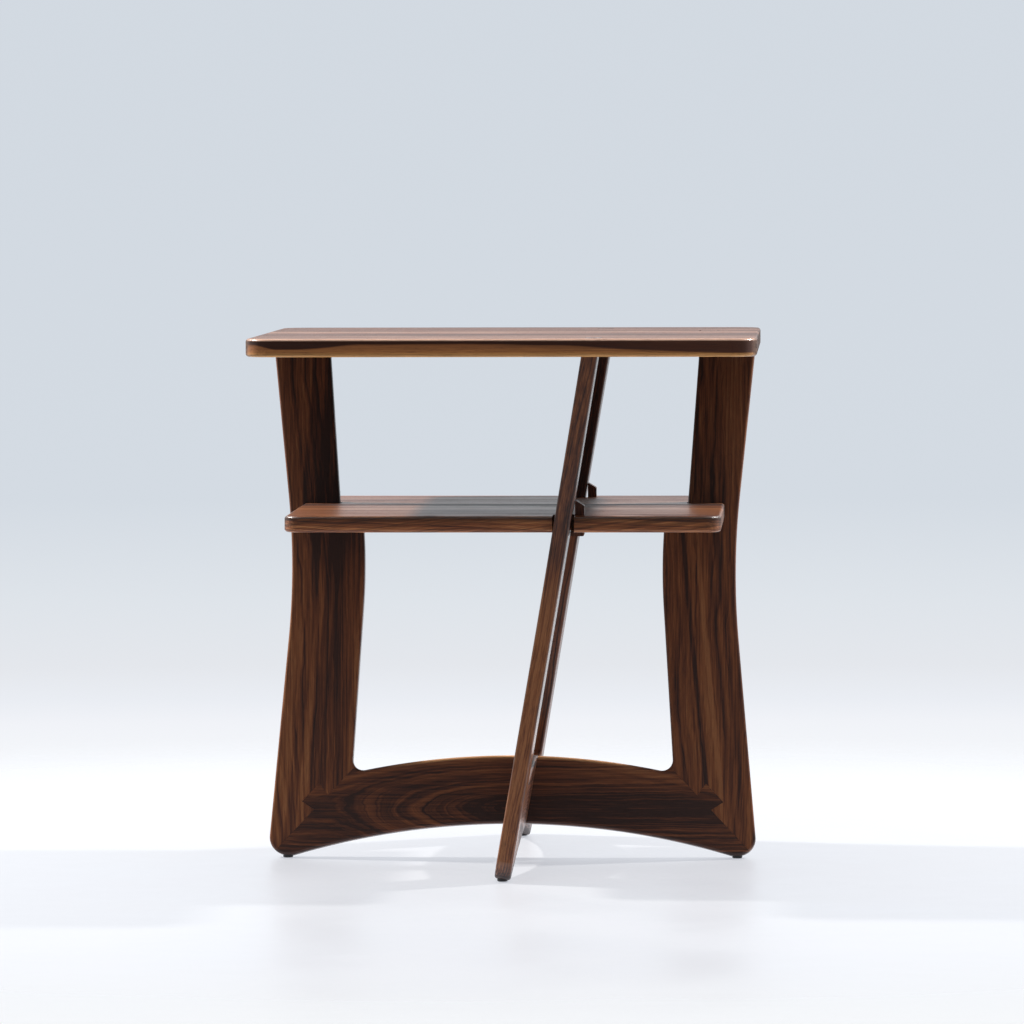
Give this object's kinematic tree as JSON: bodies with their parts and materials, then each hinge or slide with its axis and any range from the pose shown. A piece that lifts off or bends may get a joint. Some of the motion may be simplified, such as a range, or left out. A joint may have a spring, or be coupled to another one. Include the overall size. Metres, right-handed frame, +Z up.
{
  "type": "photo album stand",
  "caption": "Square walnut side stand of two leaning U-frames lapped at the floor, with a shelf seated in their waists and a wedged top.",
  "frame": {"origin": "on the floor under the middle of the square top", "axes": "+Z up, +X along the main frame's foot line towards the side that the cross frame leans to, +Y the way that the main frame leans; seen from -Y the main frame stands broadside"},
  "size_m": [0.564, 0.564, 0.6],
  "materials": {
    "walnut_frame": "satin oiled walnut",
    "walnut_top": "satin lacquered walnut",
    "walnut_shelf": "satin lacquered walnut",
    "walnut_key": "satin dark walnut",
    "black_plastic": "matte black",
    "steel": "plain bright steel"
  },
  "bodies": {
    "root": {"main_leg_left": "walnut_frame", "main_leg_right": "walnut_frame", "cross_leg_front": "walnut_frame", "cross_leg_back": "walnut_frame", "main_rail": "walnut_frame", "cross_rail": "walnut_frame", "top_stave_1": "walnut_top", "top_stave_2": "walnut_top", "top_stave_3": "walnut_top", "top_stave_4": "walnut_top", "shelf_stave_1": "walnut_shelf", "shelf_stave_2": "walnut_shelf", "shelf_stave_3": "walnut_shelf", "shelf_stave_4": "walnut_shelf", "shelf_key_left": "walnut_key", "shelf_key_right": "walnut_key", "shelf_key_front": "walnut_key", "shelf_key_back": "walnut_key", "tenon_wedge_left": "walnut_key", "tenon_wedge_right": "walnut_key", "tenon_wedge_front": "walnut_key", "tenon_wedge_back": "walnut_key", "glide_left": "black_plastic", "glide_right": "black_plastic", "glide_front": "black_plastic", "glide_back": "black_plastic", "glide_nail_left": "steel", "glide_nail_right": "steel", "glide_nail_front": "steel", "glide_nail_back": "steel"}
  },
  "joints": []
}
